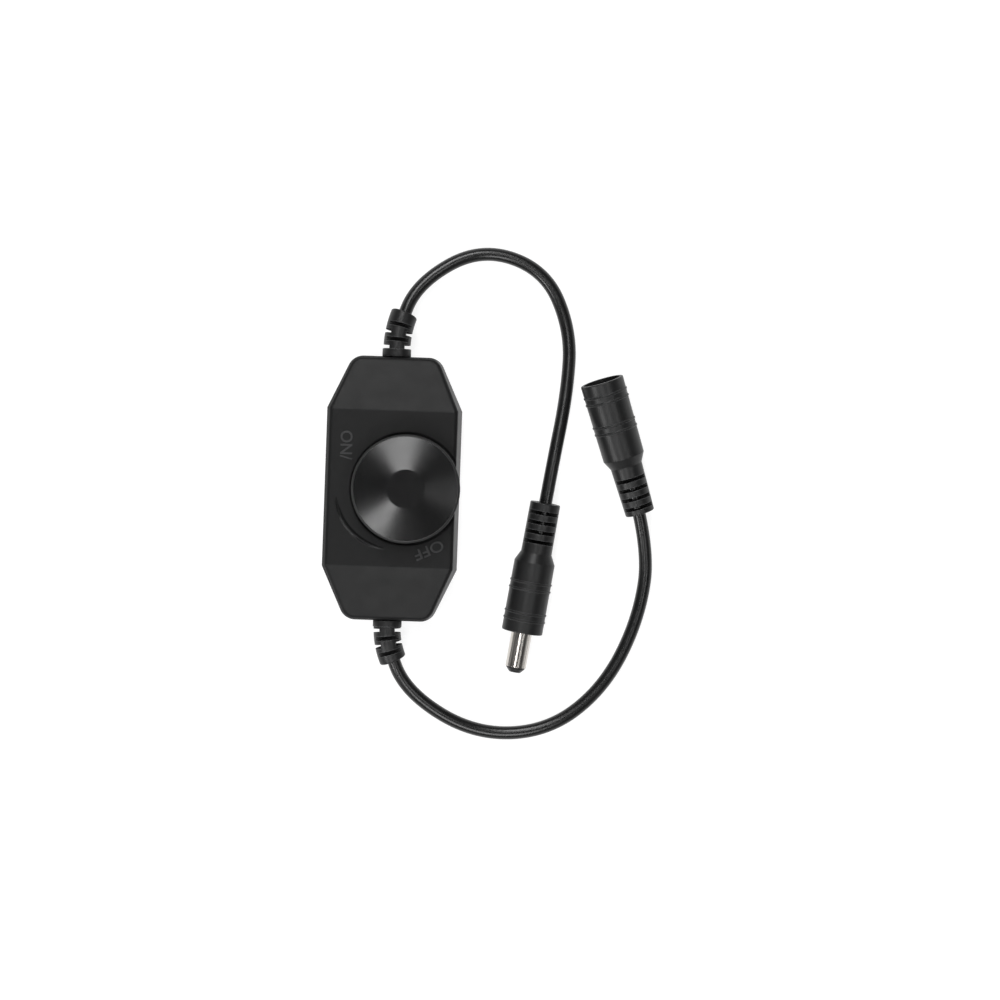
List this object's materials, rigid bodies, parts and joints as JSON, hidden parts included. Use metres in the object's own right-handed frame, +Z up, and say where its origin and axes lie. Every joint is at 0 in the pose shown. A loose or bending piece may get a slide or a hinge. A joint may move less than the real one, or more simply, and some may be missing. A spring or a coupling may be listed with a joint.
{
  "type": "inline led dimmer",
  "caption": "Black inline LED dimmer: long octagonal housing with an offset round knob, and a short cord at each end to a barrel plug and a barrel jack.",
  "frame": {"origin": "centre of the housing's underside", "axes": "+Z up out of the knob, +Y along the housing towards the plug's cord, +X across towards the side the knob is set to"},
  "size_m": [0.0879, 0.1309, 0.0253],
  "materials": {
    "housing_plastic": "moulded black plastic, fine grain",
    "knob_plastic": "moulded black plastic, satin",
    "screw_steel": "zinc plated",
    "shaft_plastic": "natural white plastic",
    "contact_brass": "stamped and tinned",
    "pot_steel": "pressed and plated",
    "pot_plastic": "brown phenolic",
    "board_laminate": "green solder mask",
    "chip_epoxy": "black epoxy",
    "capacitor_can": "drawn can",
    "resistor_ceramic": "black glazed ceramic",
    "wire_red": "red insulation",
    "wire_black": "black insulation",
    "overmould_pvc": "moulded black vinyl, satin",
    "cord_pvc": "black vinyl jacket, slight sheen",
    "nickel": "nickel plated",
    "socket_plastic": "black insulator"
  },
  "bodies": {
    "housing": {"upper_housing": "housing_plastic", "lower_housing": "housing_plastic", "housing_screws": "screw_steel", "pot_cover": "pot_steel", "pot_base": "pot_plastic", "pot_pins": "contact_brass", "circuit_board": "board_laminate", "control_chip": "chip_epoxy", "power_transistor": "chip_epoxy", "filter_capacitor": "capacitor_can", "clamp_diode": "chip_epoxy", "chip_resistors": "resistor_ceramic", "positive_wires": "wire_red", "negative_wires": "wire_black", "output_strain_relief": "overmould_pvc", "input_strain_relief": "overmould_pvc", "output_cord": "cord_pvc", "input_cord": "cord_pvc", "plug_grip": "overmould_pvc", "plug_barrel": "nickel", "plug_insulator": "socket_plastic", "plug_contact": "contact_brass", "jack_grip": "overmould_pvc", "jack_insert": "socket_plastic", "jack_pin": "nickel", "jack_spring": "contact_brass"},
    "dial": {"knob": "knob_plastic", "pot_shaft": "shaft_plastic", "pot_wiper": "contact_brass"}
  },
  "joints": [
    {"name": "knob_turn", "type": "hinge", "parent": "housing", "child": "dial", "pos_m": [0.004, 0, 0.0205], "axis": [0, 0, -1], "range_deg": [0, 300]}
  ]
}
